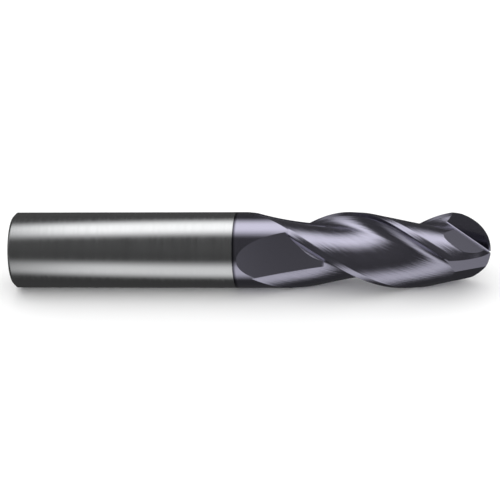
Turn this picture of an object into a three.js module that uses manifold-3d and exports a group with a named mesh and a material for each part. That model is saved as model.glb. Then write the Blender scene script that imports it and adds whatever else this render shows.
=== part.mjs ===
// Three-flute ball-nose end mill, 12 mm, with a hard coating on its front half.
// Millimetres. The tool lies along +X with its shank end at x = 0 and its tip at
// x = overallLength. Angles around the axis run from +Y towards +Z, so a right-hand
// helix turns through a growing angle as x grows, and each tooth cuts in that direction.

import * as THREE from 'three';
import { mergeVertices } from 'three/addons/utils/BufferGeometryUtils.js';
import Module from 'manifold-3d';

// Overall sizes.
const shankDiameter = 12;
const overallLength = 76;
const coatedLength = 40;
const shankChamfer = 0.5;

// Coating, drawn far thicker than the real film so that it is a solid of its own.
const coatingThickness = 0.15;
const coatingGap = 0.05;

// Teeth: unequal spacing, right-hand helix. crestDrop keeps the teeth inside the shank's bore.
const toothPitch = [123.5, 116.5, 120];
const helixAngle = 34.5;
const firstToothAngle = 296;
const crestDrop = 0.02;

// Lands behind each cutting edge: width, and how far the surface has dropped at its end.
const primaryWidth = 1.0;
const primaryDrop = 0.07;
const secondaryWidth = 1.05;
const secondaryDrop = 0.27;
const heelDrop = 0.6;

// Flute section. A pull is how far a control point of the section's curve reaches, in tooth radii.
const coreRadius = 3.8;
const hookAngle = 9;
const valleyFromRake = 24;
const backStart = 6.5;
const backLean = 20.5;
const rimReach = 1.01;
const rakePull = 0.2;
const valleyPullToRake = 0.15;
const valleyPullToBack = 0.56;
const backPull = 0.43;

// Run-out: where the grinding wheel lifts out of each flute.
const runoutSetback = 0.65;
const runoutDepth = 2.15;
const wheelRadius = 42;
const runoutLead = 95.3;
const landSetback = 8.8;
const runoutSideStart = 3.42;
const runoutSideSlope = 0.141;

// Gash: the cut in front of each cutting edge on the ball. Angles are from the rake wall.
const gashSlope = 35;
const gashBackAngle = 100;
const gashBackWidth = 2.7;
const gashFacetAngle = 135;
const gashDepth = [0.25, 0.72, 0.72];
const gashOffset = 0.12;
const gashBlend = 0.3;

// Mesh fineness.
const roundSegments = 56;
const fluteLayers = 17;
const ballLayers = 7;
const ballLimit = 88.4;
const backSteps = 6;
const rakeSteps = 4;
const wheelSteps = 7;
const meshTolerance = 0.008;
const heelShares = [0.25, 0.5, 0.75, 0.995];
const mergeDistance = 1e-5;

const shankRadius = shankDiameter / 2;
const toothRadius = shankRadius - crestDrop;
const coatingStart = overallLength - coatedLength;
const ballCentre = overallLength - toothRadius;
const helixLead = Math.PI * shankDiameter / Math.tan(THREE.MathUtils.degToRad(helixAngle));
const runoutStart = coatingStart + runoutSetback;
const runoutLength = Math.sqrt(2 * wheelRadius * runoutDepth);
const landStart = coatingStart + landSetback;
const outside = 1.5 * shankRadius;
const margin = 1;

const degrees = THREE.MathUtils.degToRad;
const polar = (angle, radius) => new THREE.Vector2(
  radius * Math.cos(degrees(angle)), radius * Math.sin(degrees(angle)));

const wasm = await Module();
wasm.setup();

// ---- Solids and meshes ----

function toSolid(geometry) {
  const bare = geometry.clone();
  bare.deleteAttribute('normal');
  bare.deleteAttribute('uv');
  const merged = mergeVertices(bare, mergeDistance);
  return new wasm.Manifold(new wasm.Mesh({
    numProp: 3,
    vertProperties: new Float32Array(merged.attributes.position.array),
    triVerts: new Uint32Array(merged.index.array),
  }));
}

function toMesh(name, solid, material) {
  const result = solid.simplify(meshTolerance).getMesh();
  const geometry = new THREE.BufferGeometry();
  geometry.setAttribute('position', new THREE.BufferAttribute(result.vertProperties, 3));
  geometry.setIndex(new THREE.BufferAttribute(result.triVerts, 1));
  geometry.computeVertexNormals();
  const mesh = new THREE.Mesh(geometry, material);
  mesh.name = name;
  return mesh;
}

// A body turned about the tool's axis, from [x, radius] pairs that start and end on the axis.
function turned(profile) {
  const points = profile.map(([x, radius]) => new THREE.Vector2(radius, x));
  const geometry = new THREE.LatheGeometry(points, roundSegments);
  geometry.rotateZ(-Math.PI / 2);
  return toSolid(geometry);
}

// ---- Helix ----

// Angle of a tooth's cutting edge at x.
function edgeAngle(tooth, x) {
  const behind = toothPitch.slice(0, tooth).reduce((sum, pitch) => sum + pitch, 0);
  return firstToothAngle - behind + (x - ballCentre) * 360 / helixLead;
}

// Stations along the axis: even steps on the cylinder, even arcs on the ball.
function stations(start, radius) {
  const list = [];
  for (let i = 0; i < fluteLayers; i += 1) {
    list.push(THREE.MathUtils.lerp(start, ballCentre, i / fluteLayers));
  }
  for (let i = 0; i <= ballLayers; i += 1) {
    list.push(ballCentre + radius * Math.sin(degrees(ballLimit * i / ballLayers)));
  }
  return list;
}

// A section drawn at the ball's centre plane, swept along the helix through the stations.
// place(point, x) may move a section point at a station before it is turned.
function helicalSweep(outline, places, place) {
  const shape = new THREE.Shape(outline);
  const steps = places.length - 1;
  const geometry = new THREE.ExtrudeGeometry(shape, { depth: 1, steps, bevelEnabled: false });
  const position = geometry.attributes.position;
  for (let i = 0; i < position.count; i += 1) {
    const x = places[Math.round(position.getZ(i) * steps)];
    const point = place(new THREE.Vector2(position.getX(i), position.getY(i)), x);
    point.rotateAround(new THREE.Vector2(), 2 * Math.PI * (x - ballCentre) / helixLead);
    position.setXYZ(i, x, point.x, point.y);
  }
  return toSolid(geometry);
}

// ---- Toothed blank: the lands, before the flutes are cut ----

// Radius left behind a cutting edge, by the length of arc behind it.
function landRadius(arc, pitchArc) {
  if (arc <= primaryWidth) return toothRadius - primaryDrop * arc / primaryWidth;
  const past = arc - primaryWidth;
  if (past <= secondaryWidth) {
    return toothRadius - THREE.MathUtils.lerp(primaryDrop, secondaryDrop, past / secondaryWidth);
  }
  const heel = (past - secondaryWidth) / (pitchArc - primaryWidth - secondaryWidth);
  return toothRadius - THREE.MathUtils.lerp(secondaryDrop, heelDrop, heel);
}

function toothedBlank(inset) {
  const outline = [];
  const arcs = [0, primaryWidth, primaryWidth + secondaryWidth];
  for (let tooth = toothPitch.length - 1; tooth >= 0; tooth -= 1) {
    const pitchArc = degrees(toothPitch[tooth]) * toothRadius;
    const last = arcs[arcs.length - 1];
    const heels = heelShares.map((share) => last + share * (pitchArc - last));
    for (const arc of [...arcs, ...heels].reverse()) {
      const angle = edgeAngle(tooth, ballCentre) - arc / degrees(1) / toothRadius;
      outline.push(polar(angle, landRadius(arc, pitchArc) - inset));
    }
  }
  // On the ball the section shrinks, and each land keeps its width in millimetres.
  const place = (point, x) => {
    const shrink = Math.cos(Math.asin(Math.max(0, x - ballCentre) / (toothRadius - inset)));
    let behind = THREE.MathUtils.euclideanModulo(firstToothAngle - point.angle() / degrees(1), 360);
    let edge = firstToothAngle;
    let tooth = 0;
    if (behind > 359.99) behind -= 360;
    while (behind > toothPitch[tooth] - 0.01) {
      behind -= toothPitch[tooth];
      edge -= toothPitch[tooth];
      tooth += 1;
    }
    const widened = behind / (shrink + (1 - shrink) * behind / toothPitch[tooth]);
    return polar(edge - widened, point.length() * shrink);
  };
  return helicalSweep(outline, stations(landStart - margin, toothRadius - inset), place);
}

// ---- Flutes ----

// The flute ahead of a tooth: down that tooth's rake face, through the valley, and up the
// convex back of the tooth ahead. Inset grows the cut by that much all along its surface.
function fluteOutline(tooth, inset) {
  const ahead = toothPitch[(tooth + toothPitch.length - 1) % toothPitch.length];
  const edge = edgeAngle(tooth, ballCentre);
  const along = (angle, radius) => polar(edge + angle, radius);
  const rim = along(0, toothRadius);
  const inward = polar(edge + 180 - hookAngle, 1);
  const valley = along(valleyFromRake, coreRadius);
  const valleyRun = polar(edge + valleyFromRake + 90, 1);
  const rake = new THREE.CubicBezierCurve(
    rim,
    rim.clone().addScaledVector(inward, rakePull * toothRadius),
    valley.clone().addScaledVector(valleyRun, -valleyPullToRake * toothRadius),
    valley);
  const backTop = along(ahead - backStart, toothRadius * rimReach);
  const backRun = polar(edge + ahead - backStart - 90 - backLean, 1);
  const back = new THREE.CubicBezierCurve(
    valley,
    valley.clone().addScaledVector(valleyRun, valleyPullToBack * toothRadius),
    backTop.clone().addScaledVector(backRun, backPull * toothRadius),
    backTop);
  const surface = [...rake.getPoints(rakeSteps), ...back.getPoints(backSteps).slice(1)];
  const grown = surface.map((point, i) => {
    const before = surface[Math.max(0, i - 1)];
    const after = surface[Math.min(surface.length - 1, i + 1)];
    const run = after.clone().sub(before).normalize();
    return new THREE.Vector2(point.x - run.y * inset, point.y + run.x * inset);
  });
  const start = rim.clone().addScaledVector(inward, toothRadius - outside);
  const startRun = new THREE.Vector2(-inward.y * inset, inward.x * inset);
  const closing = [
    along(ahead - backStart, outside),
    along((ahead - backStart) / 2, 2 * outside),
  ];
  return [start.add(startRun), ...grown, ...closing];
}

// The stock that the wheel leaves in a flute as it lifts out: everything under an arc of the
// wheel's radius, facing the direction that the wheel left in.
function runoutStock(tooth, inset) {
  const end = runoutStart + runoutLength;
  const floor = shankRadius - runoutDepth - inset;
  const profile = new THREE.Shape();
  profile.moveTo(end, -outside);
  profile.lineTo(end, floor);
  for (let i = 1; i <= wheelSteps; i += 1) {
    const back = (runoutLength + margin) * i / wheelSteps;
    profile.lineTo(end - back, floor + back * back / (2 * wheelRadius));
  }
  profile.lineTo(coatingStart - 2 * margin, outside);
  profile.lineTo(coatingStart - 2 * margin, -outside);
  const geometry = new THREE.ExtrudeGeometry(profile, { depth: 1, steps: 1, bevelEnabled: false });
  const position = geometry.attributes.position;
  const facing = degrees(edgeAngle(tooth, runoutStart) + runoutLead);
  for (let i = 0; i < position.count; i += 1) {
    const x = position.getX(i);
    const side = runoutSideStart - runoutSideSlope * (x - runoutStart) - inset;
    const across = position.getZ(i) > 0.5 ? side : -outside;
    const point = new THREE.Vector2(position.getY(i), across);
    point.rotateAround(new THREE.Vector2(), facing);
    position.setXYZ(i, x, point.x, point.y);
  }
  return toSolid(geometry);
}

function fluteCut(tooth, inset) {
  const places = stations(runoutStart, toothRadius - inset);
  places.push(overallLength + margin);
  const sweep = helicalSweep(fluteOutline(tooth, inset), places, (point) => point);
  return sweep.subtract(runoutStock(tooth, inset));
}

// Section of a gash, in (sideways, outward): the tooth's rake wall, the back wall, and a facet
// that clears the back of the tooth ahead. Inset moves all three into the stock.
function gashOutline(inset) {
  const reach = 2 * shankRadius;
  const run = (angle) => new THREE.Vector2(Math.sin(degrees(angle)), Math.cos(degrees(angle)));
  const moved = (point, before, after) => {
    const share = inset / Math.cos(degrees(before - after) / 2);
    return point.clone().addScaledVector(run((before + after) / 2), share);
  };
  const [rakeSide, backSide, facetSide] = [270, gashBackAngle + 90, gashFacetAngle + 90];
  const corner = run(gashBackAngle).multiplyScalar(gashBackWidth);
  const end = corner.clone().addScaledVector(run(gashFacetAngle), reach);
  return [
    moved(new THREE.Vector2(), rakeSide, backSide),
    moved(corner, backSide, facetSide),
    moved(end, facetSide, facetSide),
    new THREE.Vector2(reach, 0),
    new THREE.Vector2(reach, reach),
    new THREE.Vector2(-inset, reach),
  ];
}

// The cut in front of a tooth on the ball. Its bottom runs from beside the tip outwards.
function gashCut(tooth, inset) {
  const geometry = new THREE.ExtrudeGeometry(new THREE.Shape(gashOutline(inset)), {
    depth: 2 * shankRadius + 2 * margin, steps: 1, bevelEnabled: false });
  const slope = degrees(gashSlope);
  const bottom = new THREE.Vector3(-Math.cos(slope), Math.sin(slope), 0);
  const outward = new THREE.Vector3(Math.sin(slope), Math.cos(slope), 0);
  const sideways = new THREE.Vector3(0, 0, 1);
  const start = new THREE.Vector3(overallLength - gashDepth[tooth], 0, gashOffset)
    .addScaledVector(bottom, -2 * margin);
  geometry.applyMatrix4(new THREE.Matrix4().makeBasis(sideways, outward, bottom).setPosition(start));
  geometry.rotateX(degrees(edgeAngle(tooth, ballCentre - gashBlend)));
  return toSolid(geometry);
}

// The front of the tool, from the coating's edge to the tip.
function cutter(inset, start) {
  const neck = turned([
    [start, 0], [start, shankRadius - inset], [landStart, shankRadius - inset], [landStart, 0]]);
  let solid = neck.add(toothedBlank(inset));
  for (let tooth = 0; tooth < toothPitch.length; tooth += 1) {
    solid = solid.subtract(fluteCut(tooth, inset));
    solid = solid.subtract(gashCut(tooth, inset));
  }
  return solid;
}

// ---- The two pieces ----

function carbideBody() {
  const shoulder = coatingStart - coatingGap;
  const shank = turned([
    [0, 0], [0, shankRadius - shankChamfer], [shankChamfer, shankRadius],
    [shoulder, shankRadius], [shoulder, 0]]);
  const core = cutter(coatingThickness + coatingGap, shoulder - margin);
  const material = new THREE.MeshStandardMaterial({
    color: 0x9a9da0, roughness: 0.28, metalness: 1 });
  return toMesh('carbide_body', shank.add(core), material);
}

function coating() {
  const skin = cutter(0, coatingStart);
  const hollow = cutter(coatingThickness, coatingStart - margin);
  const material = new THREE.MeshStandardMaterial({
    color: 0x6d6b78, roughness: 0.32, metalness: 1 });
  return toMesh('coating', skin.subtract(hollow), material);
}

const endMill = new THREE.Group();
endMill.add(carbideBody(), coating());

export default endMill;
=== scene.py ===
"""Looks of a three-flute ball-nose end mill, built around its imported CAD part.

The tool lies along +X: bare ground shank first, coated cutter last, tip at the far end.
Lengths are in metres in the CAD part's frame. Angles around the axis are in degrees from +Y
towards +Z, so a right-hand helix turns through a growing angle as x grows.
"""

import logging
import math
from collections.abc import Sequence
from dataclasses import dataclass, field
from enum import Enum, IntEnum

import bpy
import numpy as np
from mathutils import Matrix, Vector

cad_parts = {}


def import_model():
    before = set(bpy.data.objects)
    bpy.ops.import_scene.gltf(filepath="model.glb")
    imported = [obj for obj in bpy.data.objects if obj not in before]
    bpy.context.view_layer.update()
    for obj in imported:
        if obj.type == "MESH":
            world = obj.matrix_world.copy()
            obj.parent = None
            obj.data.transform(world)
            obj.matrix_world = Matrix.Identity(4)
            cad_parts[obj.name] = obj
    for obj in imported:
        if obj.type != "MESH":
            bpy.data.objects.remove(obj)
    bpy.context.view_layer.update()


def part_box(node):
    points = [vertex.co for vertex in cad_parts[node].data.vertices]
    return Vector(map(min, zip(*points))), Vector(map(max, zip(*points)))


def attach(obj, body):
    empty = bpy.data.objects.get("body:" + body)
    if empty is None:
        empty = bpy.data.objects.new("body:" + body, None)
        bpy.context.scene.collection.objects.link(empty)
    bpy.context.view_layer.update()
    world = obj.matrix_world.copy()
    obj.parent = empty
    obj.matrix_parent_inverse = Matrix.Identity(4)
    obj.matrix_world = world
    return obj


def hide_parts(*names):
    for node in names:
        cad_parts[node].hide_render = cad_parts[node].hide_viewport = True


log = logging.getLogger("end_mill")

MM = 0.001
TWIST = "helical_twist"
CIRCLE_STEPS = 256
# Nearly all of a noise texture's values lie in this range.
NOISE_RANGE = (0.3, 0.7)

Colour = tuple[float, float, float, float]
Value = bpy.types.Node | bpy.types.NodeSocket | bpy.types.Material | Sequence[float] | float


class Surface(IntEnum):
    """The ground surfaces of the cutter. Each is smooth in itself and meets the others at an edge."""

    NECK = 0
    PRIMARY = 1
    SECONDARY = 2
    HEEL = 3
    FLUTE = 4
    RUNOUT = 5
    GASH_FACE = 6
    GASH_BOTTOM = 7
    GASH_BACK = 8
    GASH_FACET = 9
    END = 10


class Cut(Enum):
    """How solids are combined, by Blender's names."""

    JOIN = "UNION"
    REMOVE = "DIFFERENCE"


# ---- Nodes and colours ----


def linear(hex_colour: str) -> Colour:
    """Turn an sRGB hex colour into linear RGBA.

    Args:
        hex_colour: Six hex digits with a leading #.

    Returns:
        The linear colour with alpha 1.
    """
    shares = [int(hex_colour[i : i + 2], 16) / 255 for i in (1, 3, 5)]
    red, green, blue = [s / 12.92 if s <= 0.04045 else ((s + 0.055) / 1.055) ** 2.4 for s in shares]
    return red, green, blue, 1.0


def add(
    tree: bpy.types.NodeTree,
    kind: str,
    settings: dict[str, object] | None = None,
    links: dict[str | int, Value] | None = None,
) -> bpy.types.Node:
    """Add a node with its settings, its input values and its incoming links.

    Args:
        tree: The node tree that gets the node.
        kind: The node's type name.
        settings: Properties of the node itself.
        links: Input name or number to a value, or to the socket or one-output node that feeds it.

    Returns:
        The new node.
    """
    node = tree.nodes.new(kind)
    for name, value in (settings or {}).items():
        setattr(node, name, value)
    for key, value in (links or {}).items():
        if isinstance(value, bpy.types.Node):
            value = next(output for output in value.outputs if output.enabled)
        if isinstance(value, bpy.types.NodeSocket):
            tree.links.new(value, node.inputs[key])
        else:
            node.inputs[key].default_value = value
    return node


def calculate(tree: bpy.types.NodeTree, operation: str, *values: Value) -> bpy.types.Node:
    """Do one step of arithmetic in a node tree.

    Args:
        tree: The node tree.
        operation: The Math node's operation.
        *values: Numbers, nodes or sockets, in the order that the Math node takes them.

    Returns:
        The node that holds the result.
    """
    return add(tree, "ShaderNodeMath", {"operation": operation}, dict(enumerate(values)))


def blend(
    tree: bpy.types.NodeTree, value: Value, given: tuple[float, float], wanted: tuple[float, float]
) -> bpy.types.Node:
    """Turn one range smoothly into another, flat beyond both ends.

    Args:
        tree: The node tree.
        value: The number that is turned.
        given: The range that it comes in.
        wanted: The range that it leaves in.

    Returns:
        The node that holds the result.
    """
    links = dict(enumerate((value, *given, *wanted)))
    return add(tree, "ShaderNodeMapRange", {"interpolation_type": "SMOOTHSTEP"}, links)


def fresh_material(name: str) -> bpy.types.Material:
    """Make a material with an empty node tree."""
    material = bpy.data.materials.new(name)
    material.use_nodes = True
    material.node_tree.nodes.clear()
    return material


# ---- Meshes ----


def polar(angle: float, radius: float) -> np.ndarray:
    """Point in the (Y, Z) plane at an angle and a radius."""
    return radius * np.array([math.cos(math.radians(angle)), math.sin(math.radians(angle))])


def circle(radius: float) -> list[np.ndarray]:
    """Draw a round section, anticlockwise."""
    return [polar(angle, radius) for angle in np.linspace(0, 360, CIRCLE_STEPS, endpoint=False)]


def bezier(controls: Sequence[np.ndarray], count: int) -> np.ndarray:
    """Points along a cubic Bezier curve, both ends included.

    Args:
        controls: Its four control points.
        count: How many points.

    Returns:
        The points, one row each.
    """
    t = np.linspace(0, 1, count)[:, None]
    first, second, third, last = controls
    return (1 - t) ** 3 * first + 3 * t * (1 - t) ** 2 * second + 3 * t**2 * (1 - t) * third + t**3 * last


def place_object(name: str, data: bpy.types.ID) -> bpy.types.Object:
    """Put a data block into the scene as an object at the origin."""
    thing = bpy.data.objects.new(name, data)
    bpy.context.scene.collection.objects.link(thing)
    return thing


def mesh_object(
    name: str, points: Sequence[Sequence[float]], faces: Sequence[Sequence[int]], kinds: Sequence[int]
) -> bpy.types.Object:
    """Make a mesh object whose faces know which ground surface they belong to.

    Args:
        name: The object's name.
        points: Its vertices.
        faces: Its faces, as vertex numbers.
        kinds: The surface of each face.

    Returns:
        The object.
    """
    mesh = bpy.data.meshes.new(name)
    mesh.from_pydata(points, [], faces)
    mesh.attributes.new("surface", "INT", "FACE").data.foreach_set("value", kinds)
    return place_object(name, mesh)


def loft(
    name: str, places: Sequence[float], rings: Sequence[Sequence[np.ndarray]], kinds: Sequence[int]
) -> bpy.types.Object:
    """Skin a closed solid over sections that stand at places along X.

    Args:
        name: The object's name.
        places: The x of each section.
        rings: The (Y, Z) points of each section, the same number in each, anticlockwise.
        kinds: The surface that starts at each point of a section.

    Returns:
        The solid.
    """
    count = len(rings[0])
    points = [(x, *point) for x, ring in zip(places, rings) for point in ring]
    faces = []
    for layer in range(len(places) - 1):
        for i in range(count):
            here, after = layer * count + i, layer * count + (i + 1) % count
            faces += [(here, after, after + count), (here, after + count, here + count)]
    last = len(points) - count
    faces += [tuple(reversed(range(count))), tuple(range(last, last + count))]
    sides = [int(kind) for kind in kinds for _ in range(2)]
    return mesh_object(name, points, faces, sides * (len(places) - 1) + [int(Surface.END)] * 2)


def settle(thing: bpy.types.Object) -> bpy.types.Object:
    """Turn an object's modifiers into its plain mesh, and remove them."""
    graph = bpy.context.evaluated_depsgraph_get()
    mesh = bpy.data.meshes.new_from_object(thing.evaluated_get(graph))
    thing.modifiers.clear()
    old, thing.data = thing.data, mesh
    bpy.data.meshes.remove(old)
    return thing


def combine(base: bpy.types.Object, tools: Sequence[bpy.types.Object], cut: Cut) -> bpy.types.Object:
    """Join solids to a base or cut them from it. The solids are used up.

    Args:
        base: The solid that is changed.
        tools: The solids that are joined or cut away.
        cut: Which of the two.

    Returns:
        The base.
    """
    for tool in tools:
        modifier = base.modifiers.new(tool.name, "BOOLEAN")
        modifier.operation = cut.value
        modifier.solver = "MANIFOLD"
        modifier.object = tool
    settle(base)
    for tool in tools:
        bpy.data.meshes.remove(tool.data)
    return base


def sharpen(piece: bpy.types.Object) -> None:
    """Shade a piece smooth, with a sharp edge wherever two of its surfaces meet."""
    mesh = piece.data
    kinds = [item.value for item in mesh.attributes["surface"].data]
    first: dict[int, int] = {}
    sharp = [False] * len(mesh.edges)
    for face in mesh.polygons:
        for corner in face.loop_indices:
            edge = mesh.loops[corner].edge_index
            if first.setdefault(edge, kinds[face.index]) != kinds[face.index]:
                sharp[edge] = True
    mesh.shade_smooth()
    mesh.attributes.new("sharp_edge", "BOOLEAN", "EDGE").data.foreach_set("value", sharp)


# ---- Helix ----


@dataclass(frozen=True)
class Helix:
    """The screw that the teeth follow, and where each tooth's cutting edge lies on it.

    Attributes:
        radius: Radius that the helix angle is measured at.
        origin: The x where sections are drawn, and where nothing is turned.
        angle: Helix angle.
        first_tooth: Angle of the first tooth's edge at the origin.
        pitch: Angle from each tooth back to the next, unequal to keep the cut quiet.
    """

    radius: float
    origin: float
    angle: float = 34.5
    first_tooth: float = 296.0
    pitch: tuple[float, ...] = (123.5, 116.5, 120.0)

    @property
    def lead(self) -> float:
        """Length of one full turn."""
        return math.tau * self.radius / math.tan(math.radians(self.angle))

    def edge(self, tooth: int, x: float) -> float:
        """Angle of a tooth's cutting edge at x."""
        return self.first_tooth - sum(self.pitch[:tooth]) + (x - self.origin) * 360 / self.lead

    @staticmethod
    def tree() -> bpy.types.NodeTree:
        """Build the node tree that twists a straight solid along a helix.

        Returns:
            The geometry tree, with inputs for the lead, the origin and the finish.
        """
        tree = bpy.data.node_groups.new(TWIST, "GeometryNodeTree")
        sockets = tree.interface
        sockets.new_socket("Solid", in_out="INPUT", socket_type="NodeSocketGeometry")
        sockets.new_socket("Lead", in_out="INPUT", socket_type="NodeSocketFloat")
        sockets.new_socket("Origin", in_out="INPUT", socket_type="NodeSocketFloat")
        sockets.new_socket("Finish", in_out="INPUT", socket_type="NodeSocketMaterial")
        sockets.new_socket("Solid", in_out="OUTPUT", socket_type="NodeSocketGeometry")
        given = tree.nodes.new("NodeGroupInput").outputs
        position = add(tree, "GeometryNodeInputPosition")
        x = add(tree, "ShaderNodeSeparateXYZ", None, {0: position}).outputs["X"]
        along = calculate(tree, "SUBTRACT", x, given["Origin"])
        turns = calculate(tree, "DIVIDE", along, given["Lead"])
        turn = calculate(tree, "MULTIPLY", turns, math.tau)
        about_x = {"rotation_type": "X_AXIS"}
        turned = add(tree, "ShaderNodeVectorRotate", about_x, {"Vector": position, "Angle": turn})
        moved = {"Geometry": given["Solid"], "Position": turned}
        twisted = add(tree, "GeometryNodeSetPosition", None, moved)
        real = add(tree, "GeometryNodeRealizeInstances", None, {"Geometry": twisted})
        finish = {"Geometry": real, "Material": given["Finish"]}
        add(tree, "NodeGroupOutput", None, {0: add(tree, "GeometryNodeSetMaterial", None, finish)})
        return tree

    def twist(self, solid: bpy.types.Object, finish: bpy.types.Material) -> bpy.types.Object:
        """Twist a straight solid along the helix.

        Args:
            solid: The solid, drawn as it is at the origin all along.
            finish: Its material.

        Returns:
            The same object, as a plain twisted mesh.
        """
        tree = bpy.data.node_groups.get(TWIST) or self.tree()
        modifier = solid.modifiers.new(TWIST, "NODES")
        modifier.node_group = tree
        values = {"Lead": self.lead, "Origin": self.origin, "Finish": finish}
        for item in tree.interface.items_tree:
            if item.name in values:
                modifier[item.identifier] = values[item.name]
        return settle(solid)


# ---- Finishes ----


@dataclass(frozen=True)
class GroundCarbide:
    """Centreless-ground cemented carbide: a cool grey mirror, softened by lines around the shank.

    Attributes:
        colour: Reflected colour of bare tungsten carbide with cobalt.
        roughness: Width of the highlights across the grinding lines.
        variation: How much the roughness changes from line to line.
        line_width: Usual width of a grinding line.
        line_length: Usual length of a grinding line.
        line_height: Height of a grinding line.
    """

    colour: str = "#C9CACB"
    roughness: float = 0.2
    variation: float = 0.05
    line_width: float = 0.12 * MM
    line_length: float = 6.0 * MM
    line_height: float = 0.0004 * MM

    def material(self) -> bpy.types.Material:
        """Build the material."""
        material = fresh_material("ground_cemented_carbide")
        tree = material.node_tree
        place = tree.nodes.new("ShaderNodeTexCoord").outputs["Object"]
        # Lines run around the shank, so the pattern changes fast along X and slowly across.
        stretch = (1 / self.line_width, 1 / self.line_length, 1 / self.line_length)
        spread = add(tree, "ShaderNodeVectorMath", {"operation": "MULTIPLY"}, {0: place, 1: stretch})
        lines = add(tree, "ShaderNodeTexNoise", None, {"Vector": spread, "Scale": 1.0, "Detail": 2.0})
        limits = (self.roughness - self.variation, self.roughness + self.variation)
        roughness = blend(tree, lines, NOISE_RANGE, limits)
        relief = add(tree, "ShaderNodeBump", None, {"Height": lines, "Distance": self.line_height})
        colour = linear(self.colour)
        shader = {"Base Color": colour, "Metallic": 1.0, "Roughness": roughness, "Normal": relief}
        metal = add(tree, "ShaderNodeBsdfPrincipled", None, shader)
        add(tree, "ShaderNodeOutputMaterial", None, {"Surface": metal})
        return material


@dataclass(frozen=True)
class HardCoating:
    """Aluminium titanium nitride film on ground carbide: a dark violet-grey satin metal.

    Attributes:
        helix: The helix that the grinding marks in the flutes follow.
        start: The x where the film begins.
        colour: Reflected colour of the film.
        edge_colour: Colour of a dark ring at the film's edge, fading into the film's own colour.
        edge_width: Width of that dark ring.
        roughness: Width of the highlights.
        variation: How much the grinding marks change the roughness.
        mark_length: Usual length of a grinding mark.
        mark_width: Usual width of a grinding mark.
        mark_height: Height of a grinding mark.
    """

    helix: Helix
    start: float
    colour: str = "#A3A1B1"
    edge_colour: str = "#3A3942"
    edge_width: float = 0.6 * MM
    roughness: float = 0.2
    variation: float = 0.05
    mark_length: float = 5.0 * MM
    mark_width: float = 0.16 * MM
    mark_height: float = 0.03 * MM

    def material(self) -> bpy.types.Material:
        """Build the material."""
        material = fresh_material("titanium_aluminium_nitride_film")
        tree = material.node_tree
        place = tree.nodes.new("ShaderNodeTexCoord").outputs["Object"]
        x = add(tree, "ShaderNodeSeparateXYZ", None, {0: place}).outputs["X"]
        marks = self.marks(tree, place, x)
        # Only the lands and the flutes are ground along the helix and carry the marks.
        surface = add(tree, "ShaderNodeAttribute", {"attribute_name": "surface"}).outputs["Fac"]
        middle = (Surface.PRIMARY + Surface.FLUTE) / 2
        helical = calculate(tree, "COMPARE", surface, middle, Surface.FLUTE - middle + 0.5)
        height = calculate(tree, "MULTIPLY", marks, helical)
        relief = add(tree, "ShaderNodeBump", None, {"Height": height, "Distance": self.mark_height})
        limits = (self.roughness - self.variation, self.roughness + self.variation)
        roughness = blend(tree, height, NOISE_RANGE, limits)
        # The base colour darkens to edge_colour in a ring at the film's edge, over edge_width.
        inside = blend(tree, x, (self.start, self.start + self.edge_width), (0.0, 1.0))
        tints = {0: inside, 6: linear(self.edge_colour), 7: linear(self.colour)}
        tint = add(tree, "ShaderNodeMix", {"data_type": "RGBA"}, tints)
        shader = {"Base Color": tint, "Metallic": 1.0, "Roughness": roughness, "Normal": relief}
        metal = add(tree, "ShaderNodeBsdfPrincipled", None, shader)
        add(tree, "ShaderNodeOutputMaterial", None, {"Surface": metal})
        return material

    def marks(
        self, tree: bpy.types.NodeTree, place: bpy.types.NodeSocket, x: bpy.types.NodeSocket
    ) -> bpy.types.Node:
        """Add the pattern of grinding marks, which run along the helix.

        Args:
            tree: The material's node tree.
            place: The position in the object's own axes.
            x: The position along the tool.

        Returns:
            The node that holds the pattern, from 0 to 1.
        """
        turn = calculate(tree, "MULTIPLY", x, -math.tau / self.helix.lead)
        straight = {"Vector": place, "Angle": turn}
        straightened = add(tree, "ShaderNodeVectorRotate", {"rotation_type": "X_AXIS"}, straight)
        stretch = (1 / self.mark_length, 1 / self.mark_width, 1 / self.mark_width)
        spread = add(tree, "ShaderNodeVectorMath", {"operation": "MULTIPLY"}, {0: straightened, 1: stretch})
        return add(tree, "ShaderNodeTexNoise", None, {"Vector": spread, "Scale": 1.0, "Detail": 3.0})


@dataclass(frozen=True)
class PaleFloor:
    """Matt studio paper: nearly white, with no highlight of its own.

    Attributes:
        colour: Colour of the paper.
        roughness: Width of its highlight.
    """

    colour: str = "#F6F6F6"
    roughness: float = 0.95

    def material(self) -> bpy.types.Material:
        """Build the material."""
        material = fresh_material("studio_paper")
        tree = material.node_tree
        shader = {"Base Color": linear(self.colour), "Roughness": self.roughness}
        paper = add(tree, "ShaderNodeBsdfPrincipled", None, shader)
        add(tree, "ShaderNodeOutputMaterial", None, {"Surface": paper})
        return material


# ---- Cutter ----


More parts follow.
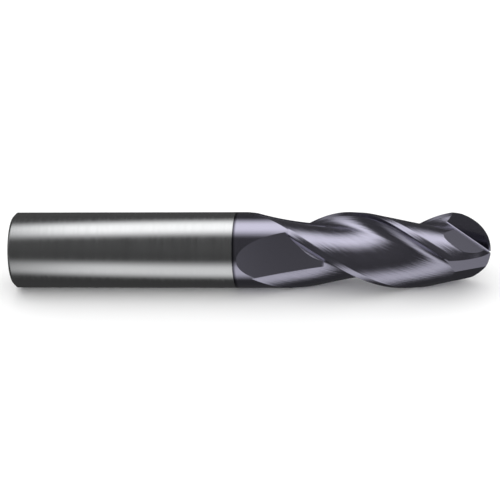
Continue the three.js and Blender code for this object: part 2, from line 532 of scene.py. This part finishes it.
@dataclass
class Cutter:
    """The front of the tool: neck, fluted teeth and ball nose, as a closed solid.

    An inset gives the same solid with every surface moved inwards by that much, so that a
    coating can be the space between two of them.

    Attributes:
        start: The x of the coating's edge.
        tip: The x of the tip.
        shank_radius: Radius of the neck.
        radius: Radius of the teeth and of the ball.
        inset: How far all surfaces lie inside the finished ones.
        primary_width: Width of the land at the cutting edge.
        primary_drop: How far that land has dropped at its far side.
        secondary_width: Width of the second land.
        secondary_drop: How far the surface has dropped at the second land's far side.
        heel_drop: How far it has dropped at the next edge.
        core_radius: Distance of a flute's valley from the axis.
        hook_angle: Lean of the rake face behind the radius.
        valley_from_rake: Angle from the edge to the valley.
        back_start: Angle from the top of a tooth's back to that tooth's edge.
        back_lean: Lean of the tooth's back at its top, inwards from the circle.
        rake_pull: Reach of the rake face's control point, in tooth radii.
        valley_pull_rake: Reach of the valley's control point on the rake side, likewise.
        valley_pull_back: Reach of the valley's control point on the back's side, likewise.
        back_pull: Reach of the back's top control point, likewise.
        rim_reach: Radius where the back ends, just outside the teeth, likewise.
        runout_setback: Distance from the coating's edge to the start of the flutes.
        runout_depth: Depth that the wheel lifts through as it leaves a flute.
        wheel_radius: Radius of the grinding wheel.
        runout_lead: Angle from the cutting edge to the side that the wheel leaves on.
        land_setback: Distance from the coating's edge to the start of the lands.
        runout_side: Half width of the stock that the lifting wheel leaves, at the start.
        runout_side_slope: How fast that half width falls along the tool.
        gash_slope: Angle of a gash's bottom to the axis.
        gash_back_angle: Angle between a gash's rake wall and its back wall.
        gash_back_width: Width of the back wall.
        gash_facet_angle: Angle between the rake wall and the facet past the back wall.
        gash_depth: Depth of each tooth's gash at the axis. The shallow one leaves a tooth
            that reaches the centre.
        gash_offset: Distance of the rake wall from the axis.
        gash_blend: Distance behind the ball's centre where rake wall and helix agree.
        gash_fillet: Radius in the gash's bottom.
        layer: Distance between sections on the cylinder.
        ball_layers: How many sections the ball has.
        ball_limit: Latitude of the last section on the ball.
        land_steps: Steps across each land.
        heel_steps: Steps from the second land to the next edge.
        heel_end: Share of the way to the next edge where the heel ends.
        rake_points: Points down the rake face.
        back_points: Points up the back of a tooth.
        wheel_points: Points on the arc that the lifting wheel leaves.
        fillet_points: Points round the gash's bottom.
        margin: How far cutting solids reach past what they cut.
        ball: The x of the ball's centre.
        outside: Radius that cutting solids reach, well past the tool.
        flute_start: The x where the flutes begin.
        runout_length: Length over which the wheel lifts out of a flute.
        land_start: The x where the lands begin.
        helix: The screw that the teeth follow.
    """

    start: float
    tip: float
    shank_radius: float
    radius: float
    inset: float = 0.0

    primary_width: float = 1.0 * MM
    primary_drop: float = 0.07 * MM
    secondary_width: float = 1.05 * MM
    secondary_drop: float = 0.27 * MM
    heel_drop: float = 0.6 * MM

    core_radius: float = 3.8 * MM
    hook_angle: float = 9.0
    valley_from_rake: float = 24.0
    back_start: float = 6.5
    back_lean: float = 20.5
    rake_pull: float = 0.2
    valley_pull_rake: float = 0.15
    valley_pull_back: float = 0.56
    back_pull: float = 0.43
    rim_reach: float = 1.01

    runout_setback: float = 0.65 * MM
    runout_depth: float = 2.15 * MM
    wheel_radius: float = 42.0 * MM
    runout_lead: float = 95.3
    land_setback: float = 8.8 * MM
    runout_side: float = 3.42 * MM
    runout_side_slope: float = 0.141

    gash_slope: float = 35.0
    gash_back_angle: float = 100.0
    gash_back_width: float = 2.7 * MM
    gash_facet_angle: float = 135.0
    gash_depth: tuple[float, ...] = (0.25 * MM, 0.72 * MM, 0.72 * MM)
    gash_offset: float = 0.12 * MM
    gash_blend: float = 0.3 * MM
    gash_fillet: float = 0.25 * MM

    layer: float = 0.3 * MM
    ball_layers: int = 36
    ball_limit: float = 88.4
    land_steps: int = 5
    heel_steps: int = 12
    heel_end: float = 0.998
    rake_points: int = 20
    back_points: int = 34
    wheel_points: int = 40
    fillet_points: int = 9
    margin: float = 1.0 * MM

    ball: float = field(init=False)
    outside: float = field(init=False)
    flute_start: float = field(init=False)
    runout_length: float = field(init=False)
    land_start: float = field(init=False)
    helix: Helix = field(init=False)

    def __post_init__(self) -> None:
        """Work out the values that follow from the sizes."""
        self.ball = self.tip - self.radius
        self.outside = 1.5 * self.shank_radius
        self.flute_start = self.start + self.runout_setback
        self.runout_length = math.sqrt(2 * self.wheel_radius * self.runout_depth)
        self.land_start = self.start + self.land_setback
        self.helix = Helix(self.shank_radius, self.ball)

    def stations(self, start: float) -> np.ndarray:
        """Places along the axis: even steps back from the ball, and even arcs on it."""
        back = np.arange(math.floor((self.ball - start) / self.layer), 0, -1) * self.layer
        arcs = np.radians(np.linspace(0, self.ball_limit, self.ball_layers + 1))
        return np.concatenate([self.ball - back, self.ball + (self.radius - self.inset) * np.sin(arcs)])

    def land_radius(self, arc: float, pitch_arc: float) -> float:
        """Radius left at an arc behind a cutting edge.

        Args:
            arc: Length of arc behind the edge.
            pitch_arc: Length of arc from the edge back to the next one.

        Returns:
            The radius.
        """
        lands = self.primary_width + self.secondary_width
        arcs = (0, self.primary_width, lands, pitch_arc)
        drops = (0, self.primary_drop, self.secondary_drop, self.heel_drop)
        return self.radius - self.inset - float(np.interp(arc, arcs, drops))

    def land_arcs(self, pitch_arc: float) -> list[tuple[float, Surface]]:
        """List where a tooth's lands have section points, and the surface just behind each.

        Args:
            pitch_arc: Length of arc from the edge back to the next one.

        Returns:
            Pairs of an arc behind the edge and a surface.
        """
        lands = self.primary_width + self.secondary_width
        end = self.heel_end * pitch_arc
        stretches = (
            (0.0, self.primary_width, self.land_steps, Surface.PRIMARY),
            (self.primary_width, lands, self.land_steps, Surface.SECONDARY),
            (lands, end, self.heel_steps, Surface.HEEL),
        )
        arcs = []
        for first, last, steps, surface in stretches:
            arcs += [(arc, surface) for arc in np.linspace(first, last, steps, endpoint=False)]
        return [*arcs, (end, Surface.END)]

    def toothed_blank(self, finish: bpy.types.Material) -> bpy.types.Object:
        """Make the solid with the lands behind each edge, before the flutes are cut."""
        places = self.stations(self.land_start - self.margin)
        rings = []
        for x in places:
            latitude = math.asin(max(0.0, x - self.ball) / (self.radius - self.inset))
            rings.append(self.blank_ring(math.cos(latitude)))
        kinds = []
        for pitch in self.helix.pitch:
            kinds += [kind for _, kind in self.land_arcs(math.radians(pitch) * self.radius)]
        # Rings run the other way round, so a surface starts at the point before it.
        kinds = kinds[::-1]
        solid = loft("toothed_blank", places, rings, kinds[1:] + kinds[:1])
        return self.helix.twist(solid, finish)

    def blank_ring(self, shrink: float) -> list[np.ndarray]:
        """Draw one section of the toothed blank, anticlockwise.

        Args:
            shrink: Size of the section. Lands keep their width as the ball narrows.

        Returns:
            Its points.
        """
        ring = []
        edge = self.helix.first_tooth
        for pitch in self.helix.pitch:
            pitch_arc = math.radians(pitch) * self.radius
            for arc, _ in self.land_arcs(pitch_arc):
                behind = math.degrees(arc / self.radius)
                widened = behind / (shrink + (1 - shrink) * behind / pitch)
                ring.append(polar(edge - widened, self.land_radius(arc, pitch_arc) * shrink))
            edge -= pitch
        return ring[::-1]

    def back_top(self, tooth: int) -> float:
        """Angle where a tooth's flute ends, at the top of the back of the tooth ahead."""
        return self.helix.edge(tooth, self.ball) + self.helix.pitch[tooth - 1] - self.back_start

    def flute_surface(self, tooth: int) -> np.ndarray:
        """Draw a flute: down the rake face, through the valley, and up the back of the tooth ahead.

        Args:
            tooth: The tooth whose rake face it is.

        Returns:
            Points of the section.
        """
        edge = self.helix.edge(tooth, self.ball)
        top_angle = self.back_top(tooth)
        rim = polar(edge, self.radius)
        inward = polar(edge + 180 - self.hook_angle, self.radius)
        valley = polar(edge + self.valley_from_rake, self.core_radius)
        valley_run = polar(edge + self.valley_from_rake + 90, self.radius)
        top = polar(top_angle, self.rim_reach * self.radius)
        top_run = polar(top_angle - 90 - self.back_lean, self.radius)
        rake_end = valley - self.valley_pull_rake * valley_run
        back_begin = valley + self.valley_pull_back * valley_run
        rake = bezier([rim, rim + self.rake_pull * inward, rake_end, valley], self.rake_points)
        back = bezier([valley, back_begin, top + self.back_pull * top_run, top], self.back_points)
        return np.concatenate([rake, back[1:]])

    def flute(self, tooth: int, finish: bpy.types.Material) -> bpy.types.Object:
        """Make the solid that cuts the flute in front of a tooth."""
        surface = self.flute_surface(tooth)
        run = np.gradient(surface, axis=0)
        run /= np.linalg.norm(run, axis=1)[:, None]
        grown = surface + self.inset * np.stack([-run[:, 1], run[:, 0]], axis=1)
        edge, top_angle = self.helix.edge(tooth, self.ball), self.back_top(tooth)
        # The section closes well outside the tool, past a point between its two rims.
        top_out = polar(top_angle, self.outside)
        between = polar((edge + top_angle) / 2, 2 * self.outside)
        rim_out = grown[0] + polar(edge - self.hook_angle, self.outside - self.radius)
        ring = [*grown, top_out, between, rim_out][::-1]
        places = np.append(self.stations(self.flute_start), self.tip + self.margin)
        solid = loft(f"flute_{tooth}", places, [ring] * len(places), [Surface.FLUTE] * len(ring))
        return combine(self.helix.twist(solid, finish), [self.runout_stock(tooth)], Cut.REMOVE)

    def runout_stock(self, tooth: int) -> bpy.types.Object:
        """Make the stock that the wheel leaves in a flute as it lifts out."""
        end = self.flute_start + self.runout_length
        low = self.start - self.margin
        floor = self.shank_radius - self.runout_depth - self.inset
        backs = np.linspace(0, self.runout_length + self.margin, self.wheel_points)
        arc = [(end - back, floor + back * back / (2 * self.wheel_radius)) for back in backs]
        outline = [(low, -self.outside), (end, -self.outside), *arc, (low, self.outside)]
        points = [(x, y, -self.outside) for x, y in outline]
        for x, y in outline:
            side = self.runout_side - self.runout_side_slope * (x - self.flute_start)
            points.append((x, y, side - self.inset))
        count = len(outline)
        faces = [tuple(reversed(range(count))), tuple(range(count, 2 * count))]
        faces += [(i, (i + 1) % count, (i + 1) % count + count, i + count) for i in range(count)]
        kinds = [int(Surface.END)] * 2 + [int(Surface.RUNOUT)] * count
        solid = mesh_object(f"runout_{tooth}", points, faces, kinds)
        facing = math.radians(self.helix.edge(tooth, self.flute_start) + self.runout_lead)
        solid.data.transform(Matrix.Rotation(facing, 4, "X"))
        return solid

    def gash_ring(self) -> tuple[list[np.ndarray], list[Surface]]:
        """Draw the section of a gash in (sideways, outward), anticlockwise.

        Returns:
            Its points, and the surface that starts at each.
        """
        reach = 2 * self.shank_radius
        back, facet = self.gash_back_angle, self.gash_facet_angle
        # Directions are measured from outward towards sideways. Each wall moves out by the inset.
        corner = self.shifted(polar(90 - back, self.gash_back_width), back + 90, facet + 90)
        end = polar(90 - back, self.gash_back_width) + polar(90 - facet, reach)
        end = self.shifted(end, facet + 90, facet + 90)
        bottom = self.shifted(np.zeros(2), 270, back + 90)
        half = math.radians(back / 2)
        centre = bottom + self.gash_fillet * np.array([1, 1 / math.tan(half)])
        turns = np.linspace(180, 360 - back, self.fillet_points)
        fillet = [centre + polar(angle, self.gash_fillet) for angle in turns]
        ring = [end, np.array([reach, 0]), np.array([reach, reach]), np.array([bottom[0], reach])]
        kinds = [Surface.END] * 3 + [Surface.GASH_FACE]
        kinds += [Surface.GASH_BOTTOM] * (self.fillet_points - 1)
        return [*ring, *fillet, corner], [*kinds, Surface.GASH_BACK, Surface.GASH_FACET]

    def shifted(self, point: np.ndarray, first: float, second: float) -> np.ndarray:
        """Move the corner between two walls so that both walls move by the inset.

        Args:
            point: The corner, in (sideways, outward).
            first: Direction that the first wall moves in, from outward towards sideways.
            second: Direction that the second wall moves in.

        Returns:
            The moved corner.
        """
        share = self.inset / math.cos(math.radians(first - second) / 2)
        return point + polar(90 - (first + second) / 2, share)

    def gash(self, tooth: int) -> bpy.types.Object:
        """Make the solid that cuts the gash in front of a tooth, which runs from beside the tip."""
        ring, kinds = self.gash_ring()
        length = 2 * self.shank_radius + 2 * self.margin
        solid = loft(f"gash_{tooth}", [0, length], [ring, ring], kinds)
        slope = math.radians(self.gash_slope)
        bottom = Vector((-math.cos(slope), math.sin(slope), 0))
        outward = Vector((math.sin(slope), math.cos(slope), 0))
        frame = Matrix((bottom, (0, 0, 1), outward)).transposed().to_4x4()
        beside_tip = Vector((self.tip - self.gash_depth[tooth], 0, self.gash_offset))
        frame.translation = beside_tip - 2 * self.margin * bottom
        angle = math.radians(self.helix.edge(tooth, self.ball - self.gash_blend))
        solid.data.transform(Matrix.Rotation(angle, 4, "X") @ frame)
        return solid

    def build(self, name: str, start: float, finish: bpy.types.Material) -> bpy.types.Object:
        """Build the closed solid.

        Args:
            name: Name of the object.
            start: The x where the neck begins.
            finish: Its material.

        Returns:
            The object.
        """
        ring = circle(self.shank_radius - self.inset)
        body = loft(name, [start, self.land_start], [ring, ring], [Surface.NECK] * len(ring))
        body.data.materials.append(finish)
        combine(body, [self.toothed_blank(finish)], Cut.JOIN)
        teeth = range(len(self.helix.pitch))
        combine(body, [self.flute(tooth, finish) for tooth in teeth], Cut.REMOVE)
        return combine(body, [self.gash(tooth) for tooth in teeth], Cut.REMOVE)


# ---- The end mill ----


@dataclass
class EndMill:
    """The whole tool: one rod of carbide, and the hard coating over its cutting half.

    Attributes:
        start: The x of the coating's edge.
        tip: The x of the tip.
        radius: Radius of the shank.
        crest_drop: How far the teeth lie inside the shank's radius.
        chamfer: Chamfer on the shank's end.
        coating_thickness: Drawn thickness of the coating.
        coating_gap: Gap under the coating.
        overlap: How far solids reach past the coating's edge before they are combined.
    """

    start: float
    tip: float
    radius: float
    crest_drop: float = 0.02 * MM
    chamfer: float = 0.5 * MM
    coating_thickness: float = 0.15 * MM
    coating_gap: float = 0.05 * MM
    overlap: float = 2.0 * MM

    def cutter(self, inset: float) -> Cutter:
        """Give the cutter with its surfaces moved inwards."""
        return Cutter(self.start, self.tip, self.radius, self.radius - self.crest_drop, inset)

    def shank(self, finish: bpy.types.Material) -> bpy.types.Object:
        """Build the bare round shank up to the coating's edge."""
        places = (0, self.chamfer, self.start - self.coating_gap)
        rings = [circle(radius) for radius in (self.radius - self.chamfer, self.radius, self.radius)]
        shank = loft("ground_carbide_body", places, rings, [Surface.NECK] * CIRCLE_STEPS)
        shank.data.materials.append(finish)
        return shank

    def body(self, finish: bpy.types.Material) -> bpy.types.Object:
        """Build the carbide rod: the shank and the carbide under the coating."""
        inner = self.cutter(self.coating_thickness + self.coating_gap)
        core = inner.build("core", self.start - self.overlap, finish)
        body = combine(self.shank(finish), [core], Cut.JOIN)
        sharpen(body)
        return body

    def coating(self, finish: bpy.types.Material) -> bpy.types.Object:
        """Build the coating as a thin shell over the carbide."""
        skin = self.cutter(0.0).build("hard_film", self.start, finish)
        inner = self.cutter(self.coating_thickness)
        hollow = inner.build("hollow", self.start - self.overlap, finish)
        coating = combine(skin, [hollow], Cut.REMOVE)
        sharpen(coating)
        return coating

    def build(self) -> None:
        """Build both pieces, attach them to the root body and hide the CAD parts that they replace."""
        film = HardCoating(self.cutter(0.0).helix, self.start).material()
        pieces = (
            (self.body(GroundCarbide().material()), "carbide_body", "ground_carbide"),
            (self.coating(film), "coating", "hard_coating"),
        )
        for piece, node, slot in pieces:
            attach(piece, "root")
            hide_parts(node)
            log.info("%s: %d faces, replaces %s", piece.name, len(piece.data.polygons), node)


# ---- Studio ----


@dataclass(frozen=True)
class Softbox:
    """A long soft light beside the tool, parallel to it.

    Attributes:
        direction: Angle around the tool's axis where its middle stands.
        half_width: Half the angle that it fills at full brightness.
        fade: Angle over which its edge fades out.
        brightness: Its brightness over the dark studio.
    """

    direction: float
    half_width: float
    fade: float
    brightness: float


@dataclass(frozen=True)
class Studio:
    """Floor, light and camera.

    Attributes:
        middle: Point that the camera looks at.
        floor_level: Height of the floor.
        floor_reach: Half the width of the floor.
        elevation: Height of the camera over the floor, as an angle.
        yaw: Turn of the camera towards the tool's tip.
        distance: Distance of the camera from the middle.
        lens: Focal length in millimetres.
        daylight: Brightness that falls on the floor from all sides.
        darkness: Brightness of the studio between the softboxes, as the metal reflects it.
        softboxes: The two long lights, above and below the camera.
        box_end: Share of the way round towards the tool's ends where the softboxes fade.
        box_rest: Share of their light that is left beyond that.
    """

    middle: Vector
    floor_level: float
    floor_reach: float = 4.0
    elevation: float = 25.0
    yaw: float = 8.7
    distance: float = 450 * MM
    lens: float = 205.0
    daylight: float = 1.6
    darkness: float = 0.07
    softboxes: tuple[Softbox, ...] = (
        Softbox(direction=80, half_width=6, fade=34, brightness=1.95),
        Softbox(direction=223, half_width=6, fade=32, brightness=1.15),
    )
    box_end: tuple[float, float] = (0.55, 0.95)
    box_rest: float = 0.15

    def build(self) -> None:
        """Set up the camera, the floor and the light."""
        self.add_camera()
        self.add_floor()
        self.add_light()
        bpy.context.scene.view_settings.view_transform = "Standard"

    def add_camera(self) -> None:
        """Place the camera in front of the tool, above it and turned towards its tip."""
        data = bpy.data.cameras.new("camera")
        data.lens = self.lens
        camera = place_object("camera", data)
        yaw, lift = math.radians(self.yaw), math.radians(self.elevation)
        front = Vector((0, -math.cos(lift), math.sin(lift)))
        back = math.sin(yaw) * Vector((1, 0, 0)) + math.cos(yaw) * front
        right = (Vector((1, 0, 0)) - back * back.x).normalized()
        frame = Matrix((right, back.cross(right), back)).transposed().to_4x4()
        frame.translation = self.middle + self.distance * back
        camera.matrix_world = frame
        bpy.context.scene.camera = camera

    def add_floor(self) -> None:
        """Lay the floor under the tool. Metal reflects the softboxes and not the floor."""
        reach, level = self.floor_reach, self.floor_level
        corners = [(x * reach, y * reach, level) for x, y in ((-1, -1), (1, -1), (1, 1), (-1, 1))]
        mesh = bpy.data.meshes.new("floor")
        mesh.from_pydata(corners, [], [(0, 1, 2, 3)])
        mesh.materials.append(PaleFloor().material())
        floor = place_object("floor", mesh)
        floor.visible_glossy = False

    def add_light(self) -> None:
        """Surround the tool with light: even daylight for the floor, softboxes for the metal."""
        world = bpy.data.worlds.new("studio")
        bpy.context.scene.world = world
        world.use_nodes = True
        tree = world.node_tree
        tree.nodes.clear()
        way = tree.nodes.new("ShaderNodeTexCoord").outputs["Generated"]
        parts = add(tree, "ShaderNodeSeparateXYZ", None, {0: way}).outputs
        angle = calculate(tree, "DEGREES", calculate(tree, "ARCTAN2", parts["Z"], parts["Y"]))
        glow = None
        for box in self.softboxes:
            light = self.softbox_light(tree, angle, box)
            glow = light if glow is None else calculate(tree, "ADD", glow, light)
        endways = calculate(tree, "ABSOLUTE", parts["X"])
        ends = blend(tree, endways, self.box_end, (1.0, self.box_rest))
        level = calculate(tree, "ADD", calculate(tree, "MULTIPLY", glow, ends), self.darkness)
        boxes = add(tree, "ShaderNodeBackground", None, {"Strength": level})
        daylight = add(tree, "ShaderNodeBackground", None, {"Strength": self.daylight})
        glossy = tree.nodes.new("ShaderNodeLightPath").outputs["Is Glossy Ray"]
        both = add(tree, "ShaderNodeMixShader", None, {0: glossy, 1: daylight, 2: boxes})
        add(tree, "ShaderNodeOutputWorld", None, {"Surface": both})

    def softbox_light(
        self, tree: bpy.types.NodeTree, angle: bpy.types.Node, box: Softbox
    ) -> bpy.types.Node:
        """Add one softbox's light to the world's node tree.

        Args:
            tree: The world's node tree.
            angle: The viewed direction, as an angle around the tool's axis.
            box: The softbox.

        Returns:
            The node that holds its brightness in that direction.
        """
        away = calculate(tree, "SUBTRACT", angle, box.direction)
        wrapped = calculate(tree, "WRAP", away, 180.0, -180.0)
        off = calculate(tree, "ABSOLUTE", wrapped)
        return blend(tree, off, (box.half_width, box.half_width + box.fade), (box.brightness, 0.0))


def main() -> None:
    """Build the end mill's looks and its studio."""
    logging.basicConfig(level=logging.INFO, format="%(message)s")
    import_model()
    low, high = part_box("carbide_body")
    film_low, film_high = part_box("coating")
    EndMill(film_low[0], film_high[0], (high[2] - low[2]) / 2).build()
    Studio(Vector((film_high[0] / 2, 0, 0)), low[2]).build()


if __name__ == "__main__":
    main()
